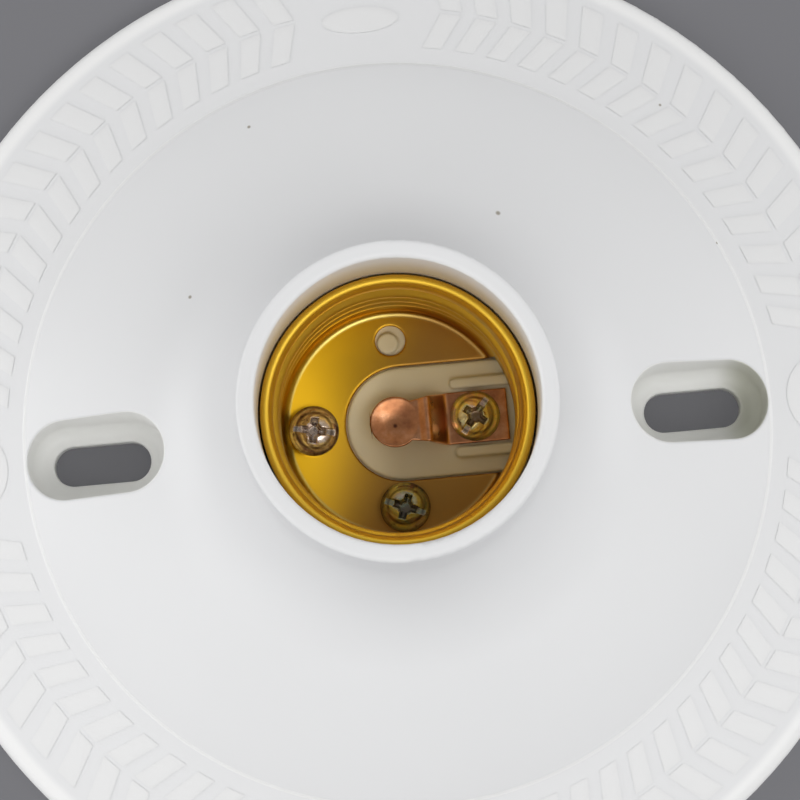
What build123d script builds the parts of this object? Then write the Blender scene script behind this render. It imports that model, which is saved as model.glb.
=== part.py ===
from build123d import *
from math import acos, atan, cos, degrees, radians, sin, sqrt, tau
import os

os.makedirs("parts", exist_ok=True)

# Driving sizes in millimetres: the origin is the middle of the back plane and +Z points out of the mouth.

# Moulded housing: rim, patterned band, dome, flare and mouth tube
BASE_R = 55.0
RIM_TOP_Z = 3.19
RIM_WALL = 2.0
RIM_ROUND = 1.6
BAND_TOP_Z = 8.75
DOME_R = 40.55
DOME_STEP = 0.3
DOME_STEP_IN = 0.15
FLARE_R = 16.0
FLARE_TOP_Z = 30.9
FLARE_SWEEP = 67.0
WALL = 2.0
HEIGHT = 44.0
MOUTH_OUT_R = 16.15
TUBE_R = 16.3
BORE_R = 14.3
LIP_ROUND = 0.45
FLOOR_TOP_Z = 17.8
FLOOR_BOTTOM_Z = 14.6
CUP_R = 16.3

# Crown of the dome from its edge to the flare: share of the way in, share of the way up, slope in degrees
CROWN = (
    (0.0, 0.0, 34.2),
    (0.202, 0.246, 29.0),
    (0.446, 0.499, 25.95),
    (0.725, 0.758, 24.2),
    (1.0, 1.0, 90 - FLARE_SWEEP),
)

# Fixing slots in their pockets
SLOT_X = 32.6
SLOT_LENGTH = 10.7
SLOT_WIDTH = 4.4
POCKET_LENGTH = 15.3
POCKET_WIDTH = 8.6
POCKET_WALL = 1.5
POCKET_FLOOR = 2.2
POCKET_ROUND = 1.6

# Raised chevron pattern on the band: two rows of bars, bearings in degrees
CHEVRON_PER_QUADRANT = 15
CHEVRON_PITCH = 4.81
CHEVRON_BAR = 2.75
CHEVRON_HEIGHT = 0.07
CHEVRON_IN_MARGIN = 1.95
CHEVRON_OUT_MARGIN = 3.0
ROW_SPLIT = 0.475
ROW_GAP = 0.5
INNER_LEAN = 2.2
OUTER_LEAN = 1.8
PAD_SHARE = 0.65
OVAL_LENGTH = 8.3
OVAL_WIDTH = 3.1
OVAL_IN_MARGIN = 5.4

# Screw shell of formed sheet with the E27 round thread
SHELL_T = 0.38
SHELL_TOP_Z = 32.9
SHELL_FLOOR_Z = FLOOR_TOP_Z
SHELL_CREASE_R = 12.0
SHELL_CORNER = 0.5
SHELL_LIP_R = BORE_R - SHELL_T - 0.15
THREAD_PITCH = 3.629
THREAD_MEAN_R = 12.77
THREAD_DEPTH = 1.08
THREAD_START_Z = SHELL_FLOOR_Z + 1.8
FOOT_Z = SHELL_FLOOR_Z + SHELL_T + SHELL_CORNER + 0.02
FOOT_RISE = 1.6
LIP_SWEEP = 70.0
LIP_BEND_R = (SHELL_LIP_R - THREAD_MEAN_R) / (1 - cos(radians(LIP_SWEEP)))
LIP_Z = SHELL_TOP_Z - LIP_BEND_R * sin(radians(LIP_SWEEP))
CUTOUT_R = 6.1
CUTOUT_X = 0.6
CUTOUT_TOP_Z = SHELL_FLOOR_Z + 1.7
EYE_R = CUTOUT_R - CUTOUT_X - 0.5
SHELL_HOLE_R = 1.6
FIXING_R = 8.9
PIP_R = 1.1
PIP_OFF = 0.27

# Plateau, ribs and centre contact
PLATEAU_Z = 18.3
PLATEAU_GAP = 0.2
RIB_WIDTH = 1.05
RIB_HEIGHT = 0.8
RIB_Y = 3.65
RIB_START_X = 5.8
RIB_LENGTH = 6.6
CONTACT_T = 0.5
CONTACT_FOOT_W = 5.5
CONTACT_NECK_W = 4.2
CONTACT_TIP_R = 2.65
CONTACT_TIP_X = -0.28
CONTACT_TIP_RISE = 2.25
CONTACT_CREST_X = 3.3
CONTACT_CREST_RISE = 2.75
CONTACT_BEND_X = 5.1
CONTACT_END_X = 11.7
CONTACT_SCREW_X = 8.2
DISH_R = 2.5
DISH_DEPTH = 0.45

# Screws and wire terminals
SCREW_R = 1.5
SCREW_CLEAR_R = 1.6
THREAD_HOLE_R = 1.52
HEAD_R = 2.65
HEAD_H = 1.9
HEAD_SIDE = 0.8
HEAD_DOME_R = (HEAD_R**2 + (HEAD_H - HEAD_SIDE) ** 2) / 2 / (HEAD_H - HEAD_SIDE)
PLATE_T = 2.5
PLATE_W = 7.0
PLATE_MARGIN = 3.4
CLAMP_Y = 8.4
GUIDE_H = 1.6
WASHER_SIDE = 6.6
WASHER_T = 0.8
WASHER_HOLE_R = 1.8
BOSS_R = 3.2
BOSS_BOTTOM_Z = 10.4
PILOT_R = 1.45
PILOT_BOTTOM_Z = 12.8

PLATE_BOTTOM_Z = FLOOR_BOTTOM_Z - PLATE_T
FLARE_C = (TUBE_R + FLARE_R, FLARE_TOP_Z)
FLARE_END = (
    FLARE_C[0] - FLARE_R * cos(radians(FLARE_SWEEP)),
    FLARE_C[1] - FLARE_R * sin(radians(FLARE_SWEEP)),
)
BAND_SLOPE = (BAND_TOP_Z - RIM_TOP_Z) / (BASE_R - DOME_R)
BAND_TURN = atan(BAND_SLOPE)
ROW_START = DOME_R + CHEVRON_IN_MARGIN
ROW_END = BASE_R - CHEVRON_OUT_MARGIN
ROW_MIDDLE = ROW_START + (ROW_END - ROW_START) * ROW_SPLIT
INNER_ROW = (ROW_START, ROW_MIDDLE - ROW_GAP / 2)
OUTER_ROW = (ROW_MIDDLE + ROW_GAP / 2, ROW_END)
PAD_CENTRE_R = (ROW_START + ROW_END) / 2
PAD_SPACE = PAD_CENTRE_R * sin(radians(45 - CHEVRON_PER_QUADRANT * CHEVRON_PITCH / 2))
PAD_R = min((ROW_END - ROW_START) / 2, PAD_SHARE * PAD_SPACE)
UNDER_R = FLARE_R + WALL
UNDER_TOP_Z = FLARE_C[1] - sqrt(UNDER_R**2 - (FLARE_C[0] - CUP_R) ** 2)
UNDER_TURN = degrees(acos((FLARE_C[0] - CUP_R) / UNDER_R))
POCKET_END_X = SLOT_X + POCKET_LENGTH / 2 + POCKET_WALL + 1.0


def crown(depth):
    """Section of the dome from its edge to the flare, moved into the wall by a depth."""
    edge = (DOME_R - DOME_STEP_IN, BAND_TOP_Z + DOME_STEP)
    points = []
    for inward, upward, slope in CROWN:
        r = edge[0] + (FLARE_END[0] - edge[0]) * inward
        z = edge[1] + (FLARE_END[1] - edge[1]) * upward
        points.append((r - depth * sin(radians(slope)), z - depth * cos(radians(slope))))
    return points


def band(r, depth):
    """Point of the band's section at a radius, moved into the wall by a depth."""
    return (r, BAND_TOP_Z - (r - DOME_R) * BAND_SLOPE - depth / cos(BAND_TURN))


def flare(depth, sweep):
    """Point of the flare's section at a sweep in degrees, moved into the wall by a depth."""
    reach = FLARE_R + depth
    return (FLARE_C[0] - reach * cos(radians(sweep)), FLARE_C[1] - reach * sin(radians(sweep)))


CROWN_SLOPES = [(cos(radians(slope)), sin(radians(slope))) for inward, upward, slope in (CROWN[0], CROWN[-1])]

# Blocks under the dome that the slot pockets are sunk into; their tops end inside the dome wall
with BuildPart() as pocket_blocks:
    with BuildSketch(Plane.XZ):
        Polygon(
            (flare(WALL / 2, 50)[0], 0),
            (POCKET_END_X, 0),
            band(POCKET_END_X, WALL / 2),
            *crown(WALL / 2)[:-1],
            flare(WALL / 2, 66),
            flare(WALL / 2, 58),
            flare(WALL / 2, 50),
            align=None,
        )
    revolve(axis=Axis.Z)
    with BuildSketch():
        with Locations((SLOT_X, 0), (-SLOT_X, 0)):
            SlotOverall(POCKET_LENGTH + 2 * POCKET_WALL, POCKET_WIDTH + 2 * POCKET_WALL)
    extrude(amount=HEIGHT, mode=Mode.INTERSECT)


def bar(row, start, end):
    """Corners of one slanting bar between two radii, from one bearing to another in degrees."""
    half = CHEVRON_BAR / 2
    turns = ((row[0], start - half), (row[0], start + half), (row[1], end + half), (row[1], end - half))
    return [(r * cos(radians(a)), r * sin(radians(a))) for r, a in turns]


# Raised pattern of the band: rows of chevrons in four quarters, round pads and plain ovals between them
with BuildPart() as pattern:
    with BuildSketch(Plane.XZ):
        Polygon(
            band(ROW_START - 0.9, 0.8),
            band(ROW_END + 0.9, 0.8),
            band(ROW_END + 0.9, -CHEVRON_HEIGHT),
            band(ROW_START - 0.9, -CHEVRON_HEIGHT),
            align=None,
        )
    revolve(axis=Axis.Z)
    with BuildSketch():
        with PolarLocations(0, 4):
            for k in range(CHEVRON_PER_QUADRANT):
                middle = 45 + (k - (CHEVRON_PER_QUADRANT - 1) / 2) * CHEVRON_PITCH
                apex = middle - INNER_LEAN / 2
                Polygon(*bar(INNER_ROW, apex + INNER_LEAN, apex), align=None)
                Polygon(*bar(OUTER_ROW, apex, apex + OUTER_LEAN), align=None)
        with PolarLocations(PAD_CENTRE_R, 2):
            Circle(PAD_R)
        with PolarLocations(DOME_R + OVAL_IN_MARGIN, 2, start_angle=90):
            Ellipse(OVAL_WIDTH / 2, OVAL_LENGTH / 2)
    extrude(amount=HEIGHT, mode=Mode.INTERSECT)

# Housing: one white moulding turned about the mouth axis, hollow and open at the back
with BuildPart() as housing:
    with BuildSketch(Plane.XZ) as section:
        with BuildLine():
            Polyline(
                (BASE_R - RIM_WALL, 0),
                (BASE_R, 0),
                (BASE_R, RIM_TOP_Z),
                (DOME_R, BAND_TOP_Z),
                crown(0)[0],
            )
            Spline(*crown(0), tangents=[(-r, z) for r, z in CROWN_SLOPES])
            CenterArc(FLARE_C, FLARE_R, 180, FLARE_SWEEP)
            Polyline(
                (TUBE_R, FLARE_TOP_Z),
                (MOUTH_OUT_R, HEIGHT),
                (BORE_R, HEIGHT),
                (BORE_R, FLOOR_TOP_Z),
                (0, FLOOR_TOP_Z),
                (0, FLOOR_BOTTOM_Z),
                (CUP_R, FLOOR_BOTTOM_Z),
                (CUP_R, UNDER_TOP_Z),
            )
            CenterArc(FLARE_C, UNDER_R, 180 + UNDER_TURN, FLARE_SWEEP - UNDER_TURN)
            Spline(*crown(WALL)[::-1], tangents=[(r, -z) for r, z in CROWN_SLOPES[::-1]])
            Polyline(
                crown(WALL)[0],
                band(DOME_R - WALL * sin(BAND_TURN), WALL),
                band(BASE_R - RIM_WALL, WALL),
                (BASE_R - RIM_WALL, 0),
            )
        make_face()
        fillet(section.vertices().sort_by_distance((BASE_R, RIM_TOP_Z))[0], RIM_ROUND)
        fillet(section.vertices().sort_by_distance((MOUTH_OUT_R, HEIGHT))[0], LIP_ROUND)
        fillet(section.vertices().sort_by_distance((BORE_R, HEIGHT))[0], LIP_ROUND)
    revolve(axis=Axis.Z)
    add(pattern.part)
    add(pocket_blocks.part)
    with BuildSketch(Plane.XY.offset(POCKET_FLOOR)):
        with Locations((SLOT_X, 0), (-SLOT_X, 0)):
            SlotOverall(POCKET_LENGTH, POCKET_WIDTH)
    extrude(amount=HEIGHT, mode=Mode.SUBTRACT)
    fillet(housing.edges().filter_by_position(Axis.Z, POCKET_FLOOR - 0.01, POCKET_FLOOR + 0.01), POCKET_ROUND)
    with BuildSketch():
        with Locations((SLOT_X, 0), (-SLOT_X, 0)):
            SlotOverall(SLOT_LENGTH, SLOT_WIDTH)
    extrude(amount=POCKET_FLOOR, mode=Mode.SUBTRACT)
    # Plateau that stands in the cut-out of the shell, and the two ribs beside the contact
    with BuildSketch(Plane.XY.offset(FLOOR_TOP_Z)):
        with Locations((CUTOUT_X, 0)):
            Circle(CUTOUT_R - PLATEAU_GAP)
            Rectangle(BORE_R, 2 * (CUTOUT_R - PLATEAU_GAP), align=(Align.MIN, Align.CENTER))
        with Locations((0, 0)):
            Circle(BORE_R + WALL / 4, mode=Mode.INTERSECT)
    extrude(amount=PLATEAU_Z - FLOOR_TOP_Z)
    with BuildSketch(Plane.XY.offset(PLATEAU_Z)):
        with Locations((RIB_START_X + RIB_LENGTH / 2, RIB_Y), (RIB_START_X + RIB_LENGTH / 2, -RIB_Y)):
            SlotOverall(RIB_LENGTH, RIB_WIDTH)
    extrude(amount=RIB_HEIGHT)
    # Locating pip that stands in the upper hole of the shell
    with BuildSketch(Plane.XY.offset(FLOOR_TOP_Z)):
        with Locations((-PIP_OFF, FIXING_R - PIP_OFF)):
            Circle(PIP_R)
    extrude(amount=SHELL_T + 0.1)
    # Boss and guide walls under the floor
    with BuildSketch(Plane.XY.offset(BOSS_BOTTOM_Z)):
        with Locations((0, -FIXING_R)):
            Circle(BOSS_R)
    extrude(amount=FLOOR_BOTTOM_Z - BOSS_BOTTOM_Z + 0.5)
    with BuildSketch(Plane.XY.offset(FLOOR_BOTTOM_Z + 0.5)):
        with Locations((CONTACT_SCREW_X, CLAMP_Y / 2), (-FIXING_R, -CLAMP_Y / 2)):
            with GridLocations(PLATE_W + 1.4, 0, 2, 1):
                Rectangle(1.0, 11.5)
    extrude(amount=-GUIDE_H - 0.5)
    # Screw holes: two clear holes through the floor and a blind pilot hole
    with Locations((CONTACT_SCREW_X, 0, FLOOR_BOTTOM_Z - 1), (-FIXING_R, 0, FLOOR_BOTTOM_Z - 1)):
        Cylinder(SCREW_CLEAR_R, 6, align=(Align.CENTER, Align.CENTER, Align.MIN), mode=Mode.SUBTRACT)
    with Locations((0, -FIXING_R, PILOT_BOTTOM_Z)):
        Cylinder(PILOT_R, 6, align=(Align.CENTER, Align.CENTER, Align.MIN), mode=Mode.SUBTRACT)
housing.part.label = "housing"
export_step(housing.part, "parts/housing.step")


def shell_radius(z, turn):
    """Inside radius of the screw shell's wall at a height and bearing: the foot, then the round thread."""
    foot = min(max((z - FOOT_Z) / FOOT_RISE, 0), 1)
    base = SHELL_CREASE_R + (THREAD_MEAN_R - SHELL_CREASE_R) * foot * foot * (3 - 2 * foot)
    rise = min(max((z - THREAD_START_Z) / 1.5, 0), 1)
    fall = min(max((LIP_Z - z) / 1.5, 0), 1)
    strength = rise * rise * (3 - 2 * rise) * fall * fall * (3 - 2 * fall)
    wave = cos(tau * z / THREAD_PITCH - radians(turn))
    return base + THREAD_DEPTH / 2 * strength * wave


def shell_section(turn):
    """Half section of the formed sheet on the plane that holds the axis at a bearing in degrees."""
    heights = [FOOT_Z + (LIP_Z - FOOT_Z) * k / 28 for k in range(29)]
    wall = [(shell_radius(z, turn), z) for z in heights]
    bends = [radians(LIP_SWEEP) * k / 7 for k in range(1, 8)]
    bend_r = THREAD_MEAN_R + LIP_BEND_R
    inside_r = LIP_BEND_R
    outside_r = LIP_BEND_R - SHELL_T
    inner = wall + [(bend_r - inside_r * cos(a), LIP_Z + inside_r * sin(a)) for a in bends]
    outer = [(r + SHELL_T, z) for r, z in wall]
    outer += [(bend_r - outside_r * cos(a), LIP_Z + outside_r * sin(a)) for a in bends]
    lengths = [z - FOOT_Z for z in heights] + [LIP_Z - FOOT_Z + LIP_BEND_R * a for a in bends]
    steps = [length / lengths[-1] for length in lengths]
    floor = SHELL_FLOOR_Z
    corner = SHELL_CORNER
    inside_arc = (SHELL_CREASE_R - corner, floor + SHELL_T + corner)
    direction = (cos(radians(turn)), sin(radians(turn)), 0)
    plane = Plane(origin=(0, 0, 0), x_dir=direction, z_dir=(direction[1], -direction[0], 0))
    with BuildSketch(plane) as sketch:
        with BuildLine():
            Line((EYE_R, floor), (inside_arc[0], floor))
            CenterArc(inside_arc, corner + SHELL_T, -90, 90)
            Line((SHELL_CREASE_R + SHELL_T, inside_arc[1]), outer[0])
            add(Edge.make_spline(outer, parameters=steps))
            Line(outer[-1], inner[-1])
            add(Edge.make_spline(inner[::-1], parameters=[1 - step for step in steps[::-1]]))
            Line(inner[0], (SHELL_CREASE_R, inside_arc[1]))
            CenterArc(inside_arc, corner, 0, -90)
            Line((inside_arc[0], floor + SHELL_T), (EYE_R, floor + SHELL_T))
            Line((EYE_R, floor + SHELL_T), (EYE_R, floor))
        make_face()
    return sketch.sketch


# Screw shell: drawn cup of gold-coloured sheet with a rolled thread, cut out round the contact
half_turns = [[shell_section(start + 22.5 * k) for k in range(9)] for start in (0, 180)]
with BuildPart() as screw_shell:
    for sections in half_turns:
        loft(sections)
    with BuildSketch(Plane.XY.offset(SHELL_FLOOR_Z - 1)):
        with Locations((CUTOUT_X, 0)):
            Circle(CUTOUT_R)
            Rectangle(BORE_R + WALL, 2 * CUTOUT_R, align=(Align.MIN, Align.CENTER))
    extrude(amount=CUTOUT_TOP_Z - SHELL_FLOOR_Z + 1, mode=Mode.SUBTRACT)
    with Locations((0, FIXING_R, SHELL_FLOOR_Z), (0, -FIXING_R, SHELL_FLOOR_Z), (-FIXING_R, 0, SHELL_FLOOR_Z)):
        Cylinder(SHELL_HOLE_R, 3, mode=Mode.SUBTRACT)
screw_shell.part.label = "screw_shell"
export_step(screw_shell.part, "parts/screw_shell.step")

# Dish pressed into the tip of the contact: a shallow cap below the strip and the hollow above it
DISH_BALL_R = (DISH_R**2 + DISH_DEPTH**2) / 2 / DISH_DEPTH
DISH_TOP_Z = PLATEAU_Z + CONTACT_TIP_RISE + CONTACT_T
DISH_CENTRE = (CONTACT_TIP_X, 0, DISH_TOP_Z - DISH_DEPTH + DISH_BALL_R)
with BuildPart() as dish:
    with Locations(DISH_CENTRE):
        Sphere(DISH_BALL_R + CONTACT_T)
    with BuildSketch(Plane.XY.offset(PLATEAU_Z)):
        with Locations((CONTACT_TIP_X, 0)):
            Circle(DISH_R)
    extrude(amount=DISH_TOP_Z - PLATEAU_Z - 0.1, mode=Mode.INTERSECT)
with BuildPart() as hollow:
    with Locations(DISH_CENTRE):
        Sphere(DISH_BALL_R)
    with BuildSketch(Plane.XY.offset(PLATEAU_Z)):
        with Locations((CONTACT_TIP_X, 0)):
            Circle(DISH_R + 0.05)
    extrude(amount=DISH_TOP_Z - PLATEAU_Z + 1, mode=Mode.INTERSECT)

# Centre contact: a copper strip on the plateau that bends up to a round dished tip on the axis
with BuildPart() as centre_contact:
    with BuildSketch(Plane.XZ):
        with BuildLine() as strip:
            FilletPolyline(
                (CONTACT_END_X, PLATEAU_Z),
                (CONTACT_BEND_X, PLATEAU_Z),
                (CONTACT_CREST_X, PLATEAU_Z + CONTACT_CREST_RISE),
                (CONTACT_TIP_X + DISH_R, PLATEAU_Z + CONTACT_TIP_RISE),
                (CONTACT_TIP_X - CONTACT_TIP_R - 0.3, PLATEAU_Z + CONTACT_TIP_RISE),
                radius=0.58,
            )
            offset(amount=CONTACT_T, side=Side.RIGHT)
        make_face()
    extrude(amount=CONTACT_FOOT_W / 2, both=True)
    with BuildSketch(Plane.XY.offset(PLATEAU_Z - 1)):
        with Locations((CONTACT_TIP_X, 0)):
            Circle(CONTACT_TIP_R)
        Polygon(
            (CONTACT_TIP_X, CONTACT_NECK_W / 2),
            (CONTACT_TIP_X + 1.8, CONTACT_NECK_W / 2),
            (CONTACT_BEND_X + 0.3, CONTACT_FOOT_W / 2),
            (CONTACT_END_X, CONTACT_FOOT_W / 2),
            (CONTACT_END_X, -CONTACT_FOOT_W / 2),
            (CONTACT_BEND_X + 0.3, -CONTACT_FOOT_W / 2),
            (CONTACT_TIP_X + 1.8, -CONTACT_NECK_W / 2),
            (CONTACT_TIP_X, -CONTACT_NECK_W / 2),
            align=None,
        )
    extrude(amount=6, mode=Mode.INTERSECT)
    add(dish.part)
    add(hollow.part, mode=Mode.SUBTRACT)
    with Locations((CONTACT_SCREW_X, 0, PLATEAU_Z)):
        Cylinder(SCREW_CLEAR_R, 3, mode=Mode.SUBTRACT)
centre_contact.part.label = "centre_contact"
export_step(centre_contact.part, "parts/centre_contact.step")

# Pan-head screws with a cross recess and a slot: the three in the socket and the two clamp screws behind
CLAMP_SEAT_Z = PLATE_BOTTOM_Z - WASHER_T
SCREWS = {
    "contact_screw": ((CONTACT_SCREW_X, 0, PLATEAU_Z + CONTACT_T), 52, 1),
    "shell_screw_side": ((-FIXING_R, 0, SHELL_FLOOR_Z + SHELL_T), -11, 1),
    "shell_screw_lower": ((0, -FIXING_R, SHELL_FLOOR_Z + SHELL_T), -22, 1),
    "live_clamp_screw": ((CONTACT_SCREW_X, CLAMP_Y, CLAMP_SEAT_Z), 20, -1),
    "neutral_clamp_screw": ((-FIXING_R, -CLAMP_Y, CLAMP_SEAT_Z), 65, -1),
}
for name, (seat, bearing, up) in SCREWS.items():
    foot = PILOT_BOTTOM_Z if name == "shell_screw_lower" else PLATE_BOTTOM_Z if up == 1 else FLOOR_BOTTOM_Z
    length = abs(seat[2] - foot) - 0.3
    along = (cos(radians(bearing)), sin(radians(bearing)), 0)
    face = Plane(origin=seat, x_dir=along, z_dir=(0, 0, up))
    side = Plane(origin=seat, x_dir=along, z_dir=face.y_dir * -1)
    shank = PILOT_R - 0.02 if name == "shell_screw_lower" else SCREW_R
    with BuildPart() as screw:
        with BuildSketch(side) as turned:
            with BuildLine():
                Polyline((0, HEAD_H), (0, -length), (shank, -length), (shank, 0), (HEAD_R, 0), (HEAD_R, HEAD_SIDE))
                RadiusArc((HEAD_R, HEAD_SIDE), (0, HEAD_H), -HEAD_DOME_R)
            make_face()
        revolve(axis=Axis(seat, (0, 0, 1)))
        with BuildSketch(face.offset(HEAD_H)):
            Rectangle(6, 0.7)
        extrude(amount=-0.75, mode=Mode.SUBTRACT)
        with BuildSketch(face.offset(HEAD_H)):
            Rectangle(2.8, 0.9)
            Rectangle(0.9, 2.8)
            Circle(0.85)
        extrude(amount=-1.5, taper=12, mode=Mode.SUBTRACT)
    screw.part.label = name
    export_step(screw.part, f"parts/{name}.step")

# Wire terminals under the floor: a tapped brass plate and a square clamp washer for each wire
TERMINALS = {"live": (CONTACT_SCREW_X, 1), "neutral": (-FIXING_R, -1)}
for name, (x, way) in TERMINALS.items():
    with BuildPart() as plate:
        with BuildSketch(Plane.XY.offset(PLATE_BOTTOM_Z)):
            with Locations((x, way * CLAMP_Y / 2)):
                RectangleRounded(PLATE_W, CLAMP_Y + 2 * PLATE_MARGIN, 1.2)
            with Locations((x, 0), (x, way * CLAMP_Y)):
                Circle(THREAD_HOLE_R, mode=Mode.SUBTRACT)
        extrude(amount=PLATE_T)
    plate.part.label = f"{name}_plate"
    export_step(plate.part, f"parts/{name}_plate.step")
    with BuildPart() as washer:
        with BuildSketch(Plane.XY.offset(PLATE_BOTTOM_Z - WASHER_T)):
            with Locations((x, way * CLAMP_Y)):
                RectangleRounded(WASHER_SIDE, WASHER_SIDE, 0.5)
                Circle(WASHER_HOLE_R, mode=Mode.SUBTRACT)
        extrude(amount=WASHER_T)
    washer.part.label = f"{name}_washer"
    export_step(washer.part, f"parts/{name}_washer.step")
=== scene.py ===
import math

import bmesh
import bpy
from mathutils import Matrix, Vector


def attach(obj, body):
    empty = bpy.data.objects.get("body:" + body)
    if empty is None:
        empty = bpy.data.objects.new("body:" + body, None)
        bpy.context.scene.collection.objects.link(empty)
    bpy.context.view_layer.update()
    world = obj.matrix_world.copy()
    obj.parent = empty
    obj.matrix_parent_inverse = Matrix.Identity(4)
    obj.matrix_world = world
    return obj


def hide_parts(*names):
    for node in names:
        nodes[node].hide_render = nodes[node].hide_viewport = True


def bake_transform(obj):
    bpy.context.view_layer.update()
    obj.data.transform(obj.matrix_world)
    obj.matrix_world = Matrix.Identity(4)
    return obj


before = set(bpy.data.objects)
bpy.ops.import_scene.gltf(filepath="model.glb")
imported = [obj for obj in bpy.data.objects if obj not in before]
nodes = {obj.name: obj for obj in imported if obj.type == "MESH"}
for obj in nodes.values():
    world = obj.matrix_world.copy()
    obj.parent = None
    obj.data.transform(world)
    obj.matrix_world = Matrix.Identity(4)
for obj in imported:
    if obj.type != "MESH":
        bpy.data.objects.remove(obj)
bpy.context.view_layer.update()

scene = bpy.context.scene
scene.view_settings.view_transform = "Standard"

# Housing: one injection moulding of white plastic, semi-gloss, with soft edges and a few dark specks
# of burnt resin in its face. Its rim lies on the ceiling and two screws through the slots hold it.
HOUSING_WHITE = (0.795, 0.798, 0.805, 1)
HOUSING_SHADE = (0.768, 0.771, 0.776, 1)
# Painted highlights: the bar tops, the line round the dome and the rim's edge are painted lighter
BAR_TOP_HIGHLIGHT = (0.805, 0.806, 0.806, 1)
EDGE_HIGHLIGHT = (0.89, 0.89, 0.885, 1)
# Painted light on the thin pocket walls, and painted shade at the right pocket's outer end
POCKET_PAINTED_LIGHT = (0.94, 0.94, 0.92, 1)
POCKET_PAINTED_SHADE = (0.62, 0.62, 0.54, 1)
# Painted warm shade with a painted reflection of the brass in the bore and on the plateau, and painted
# light on the plateau's round end and in the gap behind the shell
BORE_PAINTED_SHADE = (0.61, 0.545, 0.43, 1)
PLATEAU_PAINTED_SHADE = (0.79, 0.7, 0.48, 1)
PLATEAU_PAINTED_LIGHT = (1.0, 0.92, 0.68, 1)
GAP_PAINTED_LIGHT = (0.95, 0.94, 0.9, 1)
SPECK_BROWN = (0.36, 0.33, 0.28, 1)
WHITE_IOR = 1.48
SOFT_EDGE = 0.0006
SOFT_PATTERN = 0.0008
DOME_EDGE_R = 0.0405
BAND_SLOPE = 0.38478
BAND_LEVEL = 0.024353
SLOT_X = 0.0326
POCKET_STRAIGHT = 0.00335
POCKET_R = 0.0043

# Limits of the masks on the housing: the value where each mask is 0, then the value where it is 1
BAR_TOP = (BAND_LEVEL + 0.00002, BAND_LEVEL + 0.00006)
BAND_INNER_R = (0.0413, 0.0416)
BAND_OUTER_R = (0.0524, 0.0518)
FRONT_FACE = (BAND_LEVEL - 0.0008, BAND_LEVEL - 0.0004)
DOME_LINE = (0.00026, 0.0001)
RIM_EDGE_R = (0.0526, 0.0536)
POCKET_WALL = (POCKET_R + 0.00012, POCKET_R + 0.00002)
POCKET_END_X = (SLOT_X + 0.0025, SLOT_X + 0.0062)
BORE_INSIDE_R = (0.0147, 0.0143)
BORE_DEPTH_Z = (0.0436, 0.0335)
FLOOR_UPWARD_Z = (0.0146, 0.0175)
SHELL_OUTSIDE_R = (0.013, 0.0134)
SHELL_BEHIND_Z = (0.0328, 0.0322)
SHELL_INSIDE_R = (0.0132, 0.0128)
PLATEAU_TOP_Z = (0.025, 0.024)
PLATEAU_END_X = (0.0005, -0.0035)
SPECK_EDGE = (1.5, 0.5)
SPECKS = (
    (-0.01308, 0.03439, 0.01116, 0.00018),
    (0.01276, 0.02173, 0.01657, 0.00024),
    (-0.02084, 0.01578, 0.01614, 0.00018),
    (0.03204, 0.03352, 0.00651, 0.00015),
    (0.0365, 0.01738, 0.00899, 0.00015),
)


class Graph:
    """A node tree, with short ways to add nodes to it and to link them."""

    def __init__(self, tree):
        self.tree = tree

    def put(self, value, socket):
        """Sets an input to a number or a colour, or links it to another node's result."""
        if isinstance(value, bpy.types.NodeSocket):
            self.tree.links.new(value, socket)
        else:
            socket.default_value = value

    def fill(self, made, settings):
        """Sets a node's options and inputs by their names."""
        for key, value in settings.items():
            if hasattr(made, key):
                setattr(made, key, value)
            else:
                self.put(value, made.inputs[key])
        return made

    def add(self, kind, **settings):
        """A new shader node."""
        return self.fill(self.tree.nodes.new("ShaderNode" + kind), settings)

    def math(self, operation, *values, kind="Math", result="Value"):
        """The result of one Math or VectorMath node on numbers or on other nodes' results."""
        made = self.add(kind, operation=operation)
        for value, socket in zip(values, made.inputs):
            self.put(value, socket)
        return made.outputs[result]

    def times(self, first, *others):
        """The product of several masks or numbers."""
        for other in others:
            first = self.math("MULTIPLY", first, other)
        return first

    def off(self, value, middle):
        """How far a value lies from a middle, to either side."""
        return self.math("ABSOLUTE", self.math("SUBTRACT", value, middle))

    def from_axis(self, vector):
        """How far a place lies from the upright axis."""
        flat = self.math("MULTIPLY", vector, (1.0, 1.0, 0.0), kind="VectorMath", result="Vector")
        return self.math("LENGTH", flat, kind="VectorMath")

    def step(self, value, limits):
        """A mask that goes smoothly from 0 to 1 while a value goes from one limit to the other."""
        made = self.add("MapRange", interpolation_type="SMOOTHSTEP", Value=value)
        self.fill(made, {"From Min": limits[0], "From Max": limits[1]})
        return made.outputs["Result"]

    def tint(self, colour, mask, shade):
        """A colour turned to another shade where a mask is 1."""
        return self.add("Mix", data_type="RGBA", Factor=mask, A=colour, B=shade).outputs["Result"]

    def mottled(self, vector, **values):
        """The shared mottle group, with this material's own values."""
        return self.add("Group", node_tree=mottle, Vector=vector, **values).outputs


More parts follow.
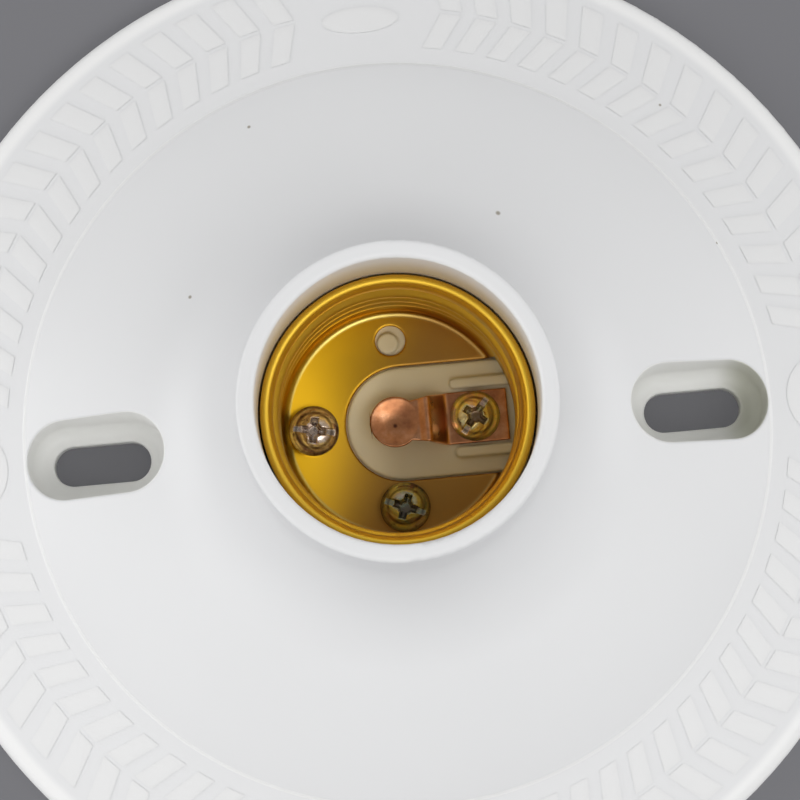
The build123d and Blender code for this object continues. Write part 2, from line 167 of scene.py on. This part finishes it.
# Mottle, a group that all the holder's materials share: a noise mask, and a gloss that follows the mask
# from Low to High
mottle = bpy.data.node_groups.new("mottle", "ShaderNodeTree")
mottle.interface.new_socket("Vector", in_out="INPUT", socket_type="NodeSocketVector")
MOTTLE_INPUTS = {
    "Scale": 5.0,
    "Detail": 2.0,
    "Roughness": 0.5,
    "Start": 0.0,
    "End": 1.0,
    "Low": 0.0,
    "High": 1.0,
}
for name, value in MOTTLE_INPUTS.items():
    mottle.interface.new_socket(name, in_out="INPUT", socket_type="NodeSocketFloat").default_value = value
for name in ("Mask", "Gloss"):
    mottle.interface.new_socket(name, in_out="OUTPUT", socket_type="NodeSocketFloat")
graph = Graph(mottle)
given = mottle.nodes.new("NodeGroupInput").outputs
noise = graph.add("TexNoise", **{name: given[name] for name in ("Vector", "Scale", "Detail", "Roughness")})
level = graph.add("MapRange", Value=noise.outputs["Fac"])
graph.fill(level, {"From Min": given["Start"], "From Max": given["End"]})
graph.fill(level, {"To Min": given["Low"], "To Max": given["High"]})
results = {"Mask": noise.outputs["Fac"], "Gloss": level.outputs["Result"]}
graph.fill(mottle.nodes.new("NodeGroupOutput"), results)


def new_material(name):
    """A material, the graph of its nodes and its Principled shader."""
    material = bpy.data.materials.new(name)
    material.use_nodes = True
    return material, Graph(material.node_tree), material.node_tree.nodes["Principled BSDF"]


def give(material, *names):
    """Puts one material on CAD nodes, in place of the plain one they were packed with."""
    for name in names:
        mesh = nodes[name].data
        mesh.materials.clear()
        mesh.materials.append(material)


white, graph, shader = new_material("white_moulded_plastic")
place = graph.add("TexCoord").outputs["Object"]
parts = graph.add("SeparateXYZ", Vector=place).outputs
reach = graph.from_axis(place)
cloud = graph.mottled(place, Scale=38.0, Detail=3.0, Roughness=0.55)["Mask"]
colour = graph.tint(HOUSING_WHITE, cloud, HOUSING_SHADE)

# Painted highlights: lighter tops on the raised bars, a fine light line round the dome and a light band on
# the turned edge of the rim
lift = graph.math("MULTIPLY_ADD", reach, BAND_SLOPE, parts["Z"])
on_band = graph.step(reach, BAND_INNER_R)
colour = graph.tint(colour, graph.times(graph.step(lift, BAR_TOP), on_band), BAR_TOP_HIGHLIGHT)
on_line = graph.step(graph.off(reach, DOME_EDGE_R), DOME_LINE)
colour = graph.tint(colour, graph.times(on_line, graph.step(lift, FRONT_FACE)), EDGE_HIGHLIGHT)
colour = graph.tint(colour, graph.step(reach, RIM_EDGE_R), EDGE_HIGHLIGHT)

# Pocket walls painted lighter, as painted light through the thin plastic, with the right pocket painted
# greyer at its outer end as painted shade
off_slot = graph.off(graph.math("ABSOLUTE", parts["X"]), SLOT_X)
past_straight = graph.math("MAXIMUM", graph.math("SUBTRACT", off_slot, POCKET_STRAIGHT), 0.0)
corner = graph.add("CombineXYZ", X=past_straight, Y=parts["Y"]).outputs["Vector"]
in_pocket = graph.step(graph.math("LENGTH", corner, kind="VectorMath"), POCKET_WALL)
colour = graph.tint(colour, in_pocket, POCKET_PAINTED_LIGHT)
far_end = graph.times(in_pocket, graph.step(parts["X"], POCKET_END_X))
colour = graph.tint(colour, far_end, POCKET_PAINTED_SHADE)

# Painted warm shade, with a painted reflection of the brass, in the bore and on the plateau; painted light
# on the plateau's round end and in the gap behind the shell
inside = graph.step(reach, BORE_INSIDE_R)
above = graph.step(parts["Z"], FLOOR_UPWARD_Z)
bore_shade = graph.times(inside, graph.step(parts["Z"], BORE_DEPTH_Z), above)
colour = graph.tint(colour, bore_shade, BORE_PAINTED_SHADE)
off_shell = graph.step(reach, SHELL_OUTSIDE_R)
behind = graph.step(parts["Z"], SHELL_BEHIND_Z)
colour = graph.tint(colour, graph.times(inside, off_shell, behind, above), GAP_PAINTED_LIGHT)
in_shell = graph.step(reach, SHELL_INSIDE_R)
plateau = graph.times(in_shell, graph.step(parts["Z"], PLATEAU_TOP_Z), above)
colour = graph.tint(colour, plateau, PLATEAU_PAINTED_SHADE)
lit_round_end = graph.times(plateau, graph.step(parts["X"], PLATEAU_END_X))
colour = graph.tint(colour, lit_round_end, PLATEAU_PAINTED_LIGHT)
for *middle, radius in SPECKS:
    away = graph.math("DISTANCE", place, middle, kind="VectorMath")
    speck = graph.step(away, [radius * share for share in SPECK_EDGE])
    colour = graph.tint(colour, speck, SPECK_BROWN)

# Gloss that varies a little, a fine moulded skin, and edges rounded by the mould, most on the pattern
gloss = graph.mottled(place, Scale=260.0, Detail=2.0, Low=0.36, High=0.46)["Gloss"]
peel = graph.mottled(place, Scale=900.0, Detail=2.0)["Mask"]
pattern = graph.times(on_band, graph.step(reach, BAND_OUTER_R))
width = graph.math("MULTIPLY_ADD", pattern, SOFT_PATTERN, SOFT_EDGE)
soft = graph.add("Bevel", samples=8, Radius=width).outputs["Normal"]
skin = graph.add("Bump", Strength=0.1, Distance=0.00004, Height=peel, Normal=soft).outputs["Normal"]
graph.fill(shader, {"Base Color": colour, "Roughness": gloss, "Normal": skin, "IOR": WHITE_IOR})
give(white, "housing")

# Screw shell: a cup drawn and turned from thin sheet with the lamp thread rolled into its wall, plated a
# bright gold colour, with painted brown shade on the contact's side and patchy brown stain. Two screws
# through its floor hold it down.
GOLD = (0.97, 0.64, 0.07, 1)
# Painted light: a paler wall below the rim, and a bright line in the crease round the floor
GOLD_WALL_PAINTED_LIGHT = (1.0, 0.79, 0.21, 1)
GOLD_DEEP = (0.985, 0.57, 0.02, 1)
CREASE_HIGHLIGHT = (1.0, 0.84, 0.24, 1)
# Painted shade in brown towards the contact's side, most on the floor, with patchy brown stain all over
GOLD_SHADE_AND_STAIN = (0.37, 0.175, 0.05, 1)
FLOOR_TOP_Z = (0.0198, 0.0188)
BELOW_RIM_Z = (0.0324, 0.031)
CREASE_R = 0.0117
CREASE_LINE = (0.0004, 0.0001)
SHADE_SLANT = -0.35
SHADE_SIDE = (-0.0105, 0.002)
SHADE_DEPTH_Z = (0.031, 0.024)
SHADE_ON_WALL = 0.1
SHADE_MORE_ON_FLOOR = 0.75
STAIN_IN_HAZE = 0.08
RIM_SATIN = 0.18
WALL_POLISH = -0.14
SHELL_SOFT_EDGE = 0.00045
FLOOR_EDGE_X = -0.0018
FLOOR_CURVE = 17.0

gold, graph, shader = new_material("gold_plated_sheet")
place = graph.add("TexCoord").outputs["Object"]
parts = graph.add("SeparateXYZ", Vector=place).outputs
reach = graph.from_axis(place)
haze = graph.mottled(place, Scale=120.0, Detail=3.0, Roughness=0.55, Low=0.26, High=0.38)
flat_floor = graph.step(parts["Z"], FLOOR_TOP_Z)
below_rim = graph.step(parts["Z"], BELOW_RIM_Z)
# The wall below the rim is painted paler as painted light, the floor is a deeper gold, and the crease
# carries a painted highlight
colour = graph.tint(GOLD, below_rim, GOLD_WALL_PAINTED_LIGHT)
colour = graph.tint(colour, flat_floor, GOLD_DEEP)
crease = graph.step(graph.off(reach, CREASE_R), CREASE_LINE)
colour = graph.tint(colour, graph.times(crease, flat_floor), CREASE_HIGHLIGHT)
# Painted shade in brown towards the contact's side, deeper on the floor, with patchy brown stain from the
# haze
lean = graph.math("MULTIPLY_ADD", parts["Y"], SHADE_SLANT, parts["X"])
share = graph.math("MULTIPLY_ADD", flat_floor, SHADE_MORE_ON_FLOOR, SHADE_ON_WALL)
shade_and_stain = graph.times(graph.step(lean, SHADE_SIDE), graph.step(parts["Z"], SHADE_DEPTH_Z), share)
shade_and_stain = graph.math("MULTIPLY_ADD", haze["Mask"], STAIN_IN_HAZE, shade_and_stain)
colour = graph.tint(colour, shade_and_stain, GOLD_SHADE_AND_STAIN)
satin = graph.math("MULTIPLY_ADD", below_rim, WALL_POLISH, RIM_SATIN)
gloss = graph.math("ADD", satin, haze["Gloss"])

# Softened edges, a floor that is drawn up a little towards the side screw, and turning marks
soft = graph.add("Bevel", samples=8, Radius=SHELL_SOFT_EDGE).outputs["Normal"]
past_edge = graph.math("MINIMUM", graph.math("SUBTRACT", parts["X"], FLOOR_EDGE_X), 0.0)
rise = graph.times(past_edge, past_edge, FLOOR_CURVE)
bent = graph.add("Bump", Strength=1.0, Distance=1.0, Height=rise, Normal=soft).outputs["Normal"]
facing = graph.add("Mix", data_type="VECTOR", Factor=flat_floor, A=soft, B=bent).outputs["Result"]
turned = graph.add("CombineXYZ", X=reach, Y=parts["Z"]).outputs["Vector"]
marks = graph.mottled(turned, Scale=1400.0, Detail=1.0)["Mask"]
lines = graph.add("Bump", Strength=0.03, Distance=0.00002, Height=marks, Normal=facing).outputs["Normal"]
spin = graph.add("Tangent", direction_type="RADIAL", axis="Z").outputs["Tangent"]
graph.fill(shader, {"Base Color": colour, "Roughness": gloss, "Normal": lines})
graph.fill(shader, {"Tangent": spin, "Anisotropic": 0.5, "Metallic": 1.0})
give(gold, "screw_shell")

# Rolled rim: the shell's upper edge, of the same gold-coloured sheet, turned over into a round bead.
# It is a circle spun round the mouth's axis, and it is one with the shell.
RIM_R = 0.01357
RIM_THICK = 0.0005
RIM_Z = 0.03248
RIM_SEGMENTS = 24
RIM_STEPS = 200


def placed(built, name):
    """A smooth object of the scene from a bmesh, which is freed."""
    for face in built.faces:
        face.smooth = True
    mesh = bpy.data.meshes.new(name)
    built.to_mesh(mesh)
    built.free()
    made = bpy.data.objects.new(name, mesh)
    scene.collection.objects.link(made)
    return made


rim = bmesh.new()
upright_ring = Matrix.Translation((RIM_R, 0, RIM_Z)) @ Matrix.Rotation(math.pi / 2, 4, "X")
bmesh.ops.create_circle(rim, cap_ends=False, segments=RIM_SEGMENTS, radius=RIM_THICK, matrix=upright_ring)
bmesh.ops.spin(
    rim,
    geom=rim.verts[:] + rim.edges[:],
    cent=(0, 0, 0),
    axis=(0, 0, 1),
    angle=2 * math.pi,
    steps=RIM_STEPS,
    use_merge=True,
    use_duplicate=False,
)
bmesh.ops.remove_doubles(rim, verts=rim.verts, dist=1e-7)
bmesh.ops.recalc_face_normals(rim, faces=rim.faces)
rolled_rim = placed(rim, "shell_rolled_rim")
rolled_rim.data.materials.append(gold)
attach(rolled_rim, "holder")

# Centre contact: a copper strip stamped with a round tip, dished in the middle, and bent up from a flat
# foot. The foot lies on the plateau under its screw, and the arm springs down under a lamp.
STRIP = ((0.0117, 0.0183), (0.0051, 0.0183), (0.0033, 0.02105), (0.00222, 0.02055), (-0.0032, 0.02055))
STRIP_BEND = 0.00058
STRIP_THICK = 0.0005
STRIP_EDGE = 0.00009
SHARP_ANGLE = 1.1
BEND_STEPS = 8
FOOT_HALF = 0.00275
NECK_HALF = 0.0021
NECK_END_X = 0.00152
FLARE_PAST_BEND = 0.0003
TIP_X = -0.00028
TIP_R = 0.00265
DISH_R = 0.0025
DISH_DEPTH = 0.00045
DISH_ROUNDNESS = 1.15
RIPPLE = 0.00002
RIPPLE_ALONG = (2100, 0.6)
RIPPLE_ACROSS = (1700, 0.3)
CONTACT_SCREW_X = 0.0082
CONTACT_HOLE_R = 0.0016
HOLE_BLOCK = 0.001
HOLE_CUT = 0.99
HOLE_BLEND = 1.2
TIP_STEPS = 44
ARM_STEPS = 60
FOOT_PITCH = 0.00025
FOOT_STEPS_IN = 10
FOOT_STEPS_OUT = 14
STEPS_ACROSS = 22
DISH_POCK = (-0.0003, -0.0004, 0.0206)
POCK_EDGE = (0.00032, 0.00008)
SLOPE_START_X = (0.0034, 0.004)
SLOPE_END_X = (0.0056, 0.005)
COPPER = (0.53, 0.225, 0.1, 1)
COPPER_DULL = (0.31, 0.118, 0.055, 1)
COPPER_PALE = (0.68, 0.35, 0.19, 1)
# Painted light on the slope behind the crest
SLOPE_PAINTED_LIGHT = (0.92, 0.5, 0.27, 1)
# Painted shade: a dark spot for the small pock in the dish, which is not modelled
POCK_PAINTED_SHADE = (0.12, 0.045, 0.025, 1)
COPPER_STAINS = ((0.3, COPPER_PALE), (0.48, COPPER), (0.72, COPPER_DULL))


def rounded(points, radius):
    """A bent line with an arc of points in place of each corner."""
    line = [Vector(points[0])]
    for before, corner, after in zip(points, points[1:], points[2:]):
        corner = Vector(corner)
        one = (Vector(before) - corner).normalized()
        two = (Vector(after) - corner).normalized()
        half = one.angle(two) / 2
        middle = corner + (one + two).normalized() * radius / math.sin(half)
        reach = radius / math.tan(half)
        start = corner + one * reach - middle
        end = corner + two * reach - middle
        for k in range(BEND_STEPS + 1):
            share = k / BEND_STEPS
            line.append(middle + (start * (1 - share) + end * share).normalized() * radius)
    line.append(Vector(points[-1]))
    return line


def height_at(line, x):
    """Height of the strip's underside at a place along it."""
    if x >= line[0].x:
        return line[0].y
    for one, two in zip(line, line[1:]):
        if two.x <= x <= one.x:
            return one.y + (two.y - one.y) * (one.x - x) / max(one.x - two.x, 1e-9)
    return line[-1].y


# Rows across the strip, each a place along it and a half width: round the tip, along the arm, on the foot
underside = rounded(STRIP, STRIP_BEND)
neck_turn = math.pi - math.asin(NECK_HALF / TIP_R)
neck_x = TIP_X - TIP_R * math.cos(neck_turn)
foot_x = CONTACT_SCREW_X - FOOT_STEPS_IN * FOOT_PITCH
rows = []
for k in range(TIP_STEPS + 1):
    turn = neck_turn * k / TIP_STEPS
    rows.append((TIP_X - TIP_R * math.cos(turn), TIP_R * math.sin(turn)))
for k in range(1, ARM_STEPS):
    x = neck_x + (foot_x - neck_x) * k / ARM_STEPS
    flare = min(max((x - NECK_END_X) / (STRIP[1][0] + FLARE_PAST_BEND - NECK_END_X), 0), 1)
    rows.append((x, NECK_HALF + (FOOT_HALF - NECK_HALF) * flare))
for k in range(-FOOT_STEPS_IN, FOOT_STEPS_OUT + 1):
    rows.append((CONTACT_SCREW_X + FOOT_PITCH * k, FOOT_HALF))

# A flat grid is laid out along the rows, dished at the tip, opened round the screw and given its thickness
strip = bmesh.new()
bmesh.ops.create_grid(strip, x_segments=len(rows) - 1, y_segments=STEPS_ACROSS, size=0.5)
gone = []
for vert in strip.verts:
    x, half_width = rows[round((vert.co.x + 0.5) * (len(rows) - 1))]
    y = vert.co.y * 2 * half_width
    z = height_at(underside, x) + STRIP_THICK
    near = math.hypot(x - TIP_X, y) / DISH_R
    if near < 1:
        z -= DISH_DEPTH * (1 - near * near) ** DISH_ROUNDNESS
    if x < neck_x:
        along = math.sin(RIPPLE_ALONG[0] * x + RIPPLE_ALONG[1])
        z += RIPPLE * along * math.cos(RIPPLE_ACROSS[0] * y + RIPPLE_ACROSS[1])
    across = max(abs(x - CONTACT_SCREW_X), abs(y)) / HOLE_BLOCK
    if across < HOLE_CUT:
        gone.append(vert)
    elif across < 1 + HOLE_BLEND:
        share = (across - 1) / HOLE_BLEND
        bearing = math.atan2(y, x - CONTACT_SCREW_X)
        x = x * share + (CONTACT_SCREW_X + CONTACT_HOLE_R * math.cos(bearing)) * (1 - share)
        y = y * share + CONTACT_HOLE_R * math.sin(bearing) * (1 - share)
    vert.co = (x, y, z)
bmesh.ops.delete(strip, geom=gone, context="VERTS")
bmesh.ops.remove_doubles(strip, verts=strip.verts, dist=1e-6)
bmesh.ops.recalc_face_normals(strip, faces=strip.faces)
if sum(face.normal.z for face in strip.faces) < 0:
    bmesh.ops.reverse_faces(strip, faces=strip.faces)
bmesh.ops.solidify(strip, geom=strip.faces[:], thickness=STRIP_THICK)
strip.normal_update()
bmesh.ops.bevel(
    strip,
    geom=[edge for edge in strip.edges if edge.is_manifold and edge.calc_face_angle() > SHARP_ANGLE],
    offset=STRIP_EDGE,
    offset_type="OFFSET",
    affect="EDGES",
    segments=2,
    profile=0.5,
    material=-1,
)
contact_strip = placed(strip, "contact_strip")


def shaded(graph, value, stops):
    """A colour that goes through stops along a value, each a position and a shade."""
    made = graph.add("ValToRGB", Fac=value)
    row = made.color_ramp.elements
    row[0].position, row[0].color = stops[0]
    row[1].position, row[1].color = stops[-1]
    for position, shade in stops[1:-1]:
        row.new(position).color = shade
    return made.outputs["Color"]


# Stained copper, with painted light on the slope behind the crest and a dark spot of painted shade for a
# small pock in the dish
copper, graph, shader = new_material("bare_copper")
place = graph.add("TexCoord").outputs["Object"]
parts = graph.add("SeparateXYZ", Vector=place).outputs
stain = graph.mottled(place, Scale=430.0, Detail=5.0, Roughness=0.62, Low=0.2, High=0.42)
lit_slope = graph.times(graph.step(parts["X"], SLOPE_START_X), graph.step(parts["X"], SLOPE_END_X))
colour = graph.tint(shaded(graph, stain["Mask"], COPPER_STAINS), lit_slope, SLOPE_PAINTED_LIGHT)
pock_shade = graph.step(graph.math("DISTANCE", place, DISH_POCK, kind="VectorMath"), POCK_EDGE)
colour = graph.tint(colour, pock_shade, POCK_PAINTED_SHADE)
grain = graph.mottled(place, Scale=1300.0, Detail=3.0)["Mask"]
rough = graph.add("Bump", Strength=0.35, Distance=0.00005, Height=grain).outputs["Normal"]
graph.fill(shader, {"Base Color": colour, "Roughness": stain["Gloss"], "Normal": rough, "Metallic": 1.0})
contact_strip.data.materials.append(copper)
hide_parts("centre_contact")
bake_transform(contact_strip)

# Screws in the socket: pan-head steel screws with a cross and slot, zinc plated and yellow passivated,
# which leaves patches of yellow, green and violet. They hold the shell and the contact down.
PASSIVATED = (
    (0.3, (0.5, 0.35, 0.13, 1)),
    (0.42, (0.84, 0.66, 0.29, 1)),
    (0.5, (0.63, 0.61, 0.33, 1)),
    (0.58, (0.84, 0.6, 0.37, 1)),
    (0.68, (0.64, 0.44, 0.49, 1)),
)
GREENED = (
    (0.3, (0.21, 0.19, 0.12, 1)),
    (0.42, (0.46, 0.43, 0.26, 1)),
    (0.5, (0.33, 0.37, 0.27, 1)),
    (0.58, (0.43, 0.37, 0.28, 1)),
    (0.68, (0.34, 0.27, 0.29, 1)),
)
RUSTED = (
    (0.3, (0.44, 0.3, 0.24, 1)),
    (0.42, (0.84, 0.7, 0.56, 1)),
    (0.5, (0.58, 0.44, 0.37, 1)),
    (0.58, (0.92, 0.84, 0.75, 1)),
    (0.68, (0.54, 0.38, 0.4, 1)),
)
# Painted shade in the cross recesses, and painted glints in the rusted screw's cross
YELLOW_CROSS_SHADE = (0.26, 0.165, 0.075, 1)
GREEN_CROSS_SHADE = (0.2, 0.17, 0.14, 1)
RUSTED_CROSS_GLINT = (0.66, 0.56, 0.47, 1)
RUST = (0.13, 0.06, 0.035, 1)
RUST_LIMITS = ((0.62, -0.25), (0.74, -0.2))
# Painted dark rings and a painted dark edge on each head, standing for its shade and reflections
RING_PAINTED_SHADE = (0.12, 0.085, 0.055, 1)
DARK_RING_R = 0.00188
DARK_RING_LINE = (0.0002, 0.00005)
DARK_RING_SHARE = 0.65
HEAD_EDGE_R = (0.00225, 0.00245)
RECESS_R = (0.0016, 0.0013)
RECESS_Z = (-0.00045, -0.0008)
CROSS_PATCHES = (0.6, 0.42)
METAL = 0.85
METAL_LOST_IN_CROSS = -0.55
SCREW_SOFT_EDGE = 0.00022
SCREWS = (
    ("contact_screw", "yellow_passivated_steel", PASSIVATED, 0.1, (0.0082, 0.0, 0.0207), YELLOW_CROSS_SHADE),
    ("shell_screw_lower", "green_passivated_steel", GREENED, 0.2, (0.0, -0.0089, 0.02008), GREEN_CROSS_SHADE),
    ("shell_screw_side", "rusted_passivated_steel", RUSTED, 0.35, (-0.0089, 0.0, 0.02008), RUSTED_CROSS_GLINT),
)
for screw, name, shades, rust, head_top, cross in SCREWS:
    steel, graph, shader = new_material(name)
    place = graph.add("TexCoord").outputs["Object"]
    film = graph.mottled(place, Scale=480.0, Detail=3.0, Roughness=0.6)["Mask"]
    blots = graph.mottled(
        place, Scale=900.0, Detail=5.0, Roughness=0.7, Start=0.3, End=0.75, Low=0.06, High=0.3
    )
    eaten = graph.step(blots["Mask"], [limit + rust * shift for limit, shift in RUST_LIMITS])
    colour = graph.tint(shaded(graph, film, shades), eaten, RUST)

    # Painted dark rings and a painted dark edge on the head, for the shade and reflections on its gloss,
    # and a cross under the head's top that is less metallic and painted in patches: darker as painted
    # shade, paler on the rusted screw as painted glints
    off_head = graph.math("SUBTRACT", place, head_top, kind="VectorMath", result="Vector")
    off_axis = graph.from_axis(off_head)
    ring = graph.step(graph.off(off_axis, DARK_RING_R), DARK_RING_LINE)
    rings = graph.math("MAXIMUM", ring, graph.step(off_axis, HEAD_EDGE_R))
    colour = graph.tint(colour, graph.times(rings, DARK_RING_SHARE), RING_PAINTED_SHADE)
    depth = graph.add("SeparateXYZ", Vector=off_head).outputs["Z"]
    sunk = graph.times(graph.step(off_axis, RECESS_R), graph.step(depth, RECESS_Z))
    in_cross = graph.times(sunk, graph.step(blots["Mask"], CROSS_PATCHES))
    colour = graph.tint(colour, in_cross, cross)
    metal = graph.math("MULTIPLY_ADD", in_cross, METAL_LOST_IN_CROSS, METAL)
    soft = graph.add("Bevel", samples=8, Radius=SCREW_SOFT_EDGE).outputs["Normal"]
    pits = graph.add("Bump", Strength=0.2, Distance=0.00005, Height=blots["Mask"], Normal=soft)
    graph.fill(shader, {"Base Color": colour, "Metallic": metal})
    graph.fill(shader, {"Roughness": blots["Gloss"], "Normal": pits.outputs["Normal"]})
    give(steel, screw)

# Wire terminals behind the floor: tapped brass plates, with square steel washers that the clamp screws
# pull up onto the bared wires. The brass is a little stained, and the steel is bright with zinc.
BRASS = (0.72, 0.5, 0.2, 1)
BRASS_STAINED = (0.55, 0.36, 0.14, 1)
ZINC = (0.62, 0.63, 0.65, 1)
ZINC_GREY = (0.47, 0.48, 0.5, 1)

brass, graph, shader = new_material("bare_brass")
place = graph.add("TexCoord").outputs["Object"]
stain = graph.mottled(place, Scale=240.0, Detail=4.0)["Mask"]
soft = graph.add("Bevel", samples=6, Radius=0.0002).outputs["Normal"]
graph.fill(shader, {"Base Color": graph.tint(BRASS, stain, BRASS_STAINED), "Normal": soft})
graph.fill(shader, {"Metallic": 1.0, "Roughness": 0.32})
give(brass, "live_plate", "neutral_plate")

zinc, graph, shader = new_material("bright_zinc")
place = graph.add("TexCoord").outputs["Object"]
spangle = graph.mottled(place, Scale=600.0, Detail=3.0)["Mask"]
soft = graph.add("Bevel", samples=6, Radius=0.00015).outputs["Normal"]
graph.fill(shader, {"Base Color": graph.tint(ZINC, spangle, ZINC_GREY), "Normal": soft})
graph.fill(shader, {"Metallic": 1.0, "Roughness": 0.3})
give(zinc, "live_washer", "neutral_washer", "live_clamp_screw", "neutral_clamp_screw")

# Floor: a plain grey table top that the holder lies on, seen at the corners and through the slots.
# The camera sees part of its grey as a plain shade, so that it stays even under the holder.
TABLE_GREY = (0.211, 0.211, 0.225, 1)
TABLE_SEEN = (0.147, 0.147, 0.158, 1)
TABLE_SEEN_SHARE = 0.4
TABLE_SIZE = 3.0
TABLE_Z = -0.00002
table = bmesh.new()
lowered = Matrix.Translation((0, 0, TABLE_Z))
bmesh.ops.create_grid(table, x_segments=1, y_segments=1, size=TABLE_SIZE, matrix=lowered)
table_top = placed(table, "table_top")
grey, graph, shader = new_material("table_grey")
graph.fill(shader, {"Base Color": TABLE_GREY, "Roughness": 0.7})
path = graph.add("LightPath").outputs
seen = graph.math("MAXIMUM", path["Is Camera Ray"], path["Is Glossy Ray"])
plain = graph.add("Emission", Color=TABLE_SEEN)
both = graph.add("MixShader", Fac=graph.times(seen, TABLE_SEEN_SHARE))
graph.put(shader.outputs["BSDF"], both.inputs[1])
graph.put(plain.outputs["Emission"], both.inputs[2])
graph.fill(grey.node_tree.nodes["Material Output"], {"Surface": both.outputs["Shader"]})
table_top.data.materials.append(grey)

# Light: soft boxes all round, the strongest low on the left and at the lower right of the view, in a pale
# room that is darker overhead, where the camera stands.
BOX_SIZE = 0.5
BOX_AIM = Vector((0, 0, 0.02))
BOXES = (
    ("right_box", (0.42, -0.3, 0.76), 1.6),
    ("front_box", (0.0, -0.42, 0.8), 1.35),
    ("left_box", (-0.85, 0.1, 0.3), 2.3),
    ("far_box", (0.0, 0.75, 0.45), 0.5),
    ("side_box", (0.85, 0.1, 0.3), 1.4),
    ("corner_box", (-0.6, -0.35, 0.55), 0.8),
)
ROOM = ((0.0, 0.67), (0.5, 0.585), (0.75, 0.47), (0.92, 0.315), (1.0, 0.2))
for name, where, power in BOXES:
    light = bpy.data.lights.new(name, "AREA")
    light.energy = power
    light.size = BOX_SIZE
    box = bpy.data.objects.new(name, light)
    box.location = where
    box.rotation_euler = (BOX_AIM - Vector(where)).to_track_quat("-Z", "Y").to_euler()
    scene.collection.objects.link(box)
room = bpy.data.worlds.new("grey_room")
room.use_nodes = True
graph = Graph(room.node_tree)
sky = graph.add("TexCoord").outputs["Generated"]
height = graph.add("SeparateXYZ", Vector=sky).outputs["Z"]
level = shaded(graph, height, [(position, (shade, shade, shade, 1)) for position, shade in ROOM])
graph.fill(room.node_tree.nodes["Background"], {"Color": level})
scene.world = room

# Camera: nearly square on to the mouth, 0.37 m in front of it, tipped 5.6 degrees and turned 5.2 degrees.
DISTANCE = 0.3678
TIP = 0.0983
TURN = math.radians(5.2466)
MOUTH = Vector((0, 0, 0.044))
SENSOR = 36.0
PICTURE_PIXELS = 800
FOCAL_PIXELS = 3715.9
SHIFT_PIXELS = (-2.21, 0.09)
across = Vector((math.cos(TURN), -math.sin(TURN), 0))
upright = Vector((math.sin(TURN), math.cos(TURN), 0))
back = math.cos(TIP) * Vector((0, 0, 1)) - math.sin(TIP) * upright
above = back.cross(across)
camera_data = bpy.data.cameras.new("camera")
camera_data.sensor_width = SENSOR
camera_data.lens = SENSOR * FOCAL_PIXELS / PICTURE_PIXELS
camera_data.shift_x = -SHIFT_PIXELS[0] / PICTURE_PIXELS
camera_data.shift_y = SHIFT_PIXELS[1] / PICTURE_PIXELS
camera_data.clip_start = 0.01
camera = bpy.data.objects.new("camera", camera_data)
pose = Matrix((across, above, back)).transposed().to_4x4()
pose.translation = MOUTH + DISTANCE * back
camera.matrix_world = pose
scene.collection.objects.link(camera)
scene.camera = camera
